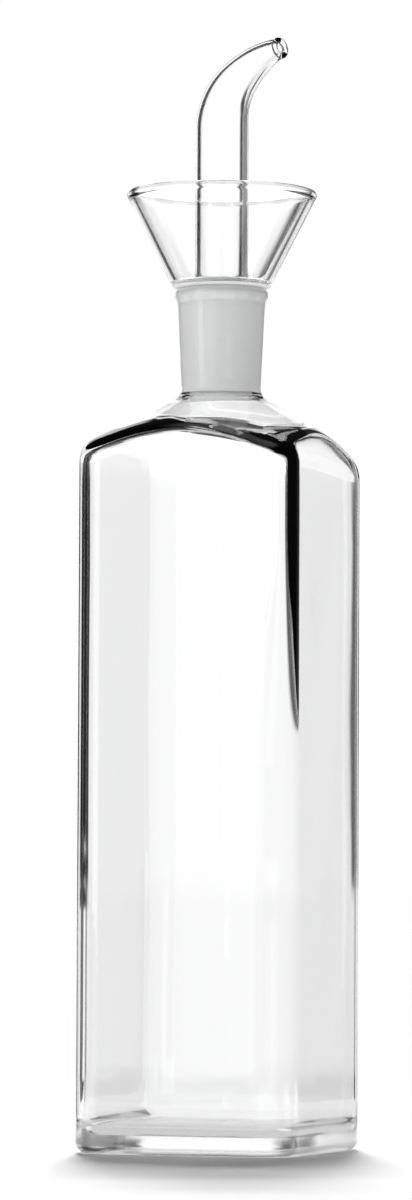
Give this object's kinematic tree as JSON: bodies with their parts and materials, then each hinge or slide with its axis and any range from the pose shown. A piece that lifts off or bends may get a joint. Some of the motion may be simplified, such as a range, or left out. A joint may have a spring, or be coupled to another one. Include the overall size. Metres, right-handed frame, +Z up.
{
  "type": "glass oil bottle",
  "caption": "Square clear glass oil cruet with a ground-glass neck and a lift-out stopper that pours through a bent tube and catches drips in a funnel.",
  "frame": {"origin": "centre of the base, on the surface it stands on", "axes": "+Z up along the neck, X and Y square to the flat sides; at rest the spout points between +X and -Y"},
  "size_m": [0.0578, 0.0578, 0.2765],
  "materials": {
    "clear_glass": "clear, fire-polished",
    "ground_glass": "ground, frosted"
  },
  "bodies": {
    "bottle": {"bottle_body": "clear_glass", "neck_socket": "clear_glass"},
    "stopper_seal": {"ring_seal": "clear_glass"},
    "stopper": {"ground_cone": "ground_glass", "drip_funnel": "clear_glass", "pouring_tube": "clear_glass"}
  },
  "joints": [
    {"name": "stopper_lift", "type": "slide", "parent": "bottle", "child": "stopper_seal", "axis": [0, 0, 1], "range_m": [0, 0.06]},
    {"name": "stopper_turn", "type": "hinge", "parent": "stopper_seal", "child": "stopper", "pos_m": [0, 0, 0.2145], "axis": [0, 0, 1], "continuous": true}
  ]
}
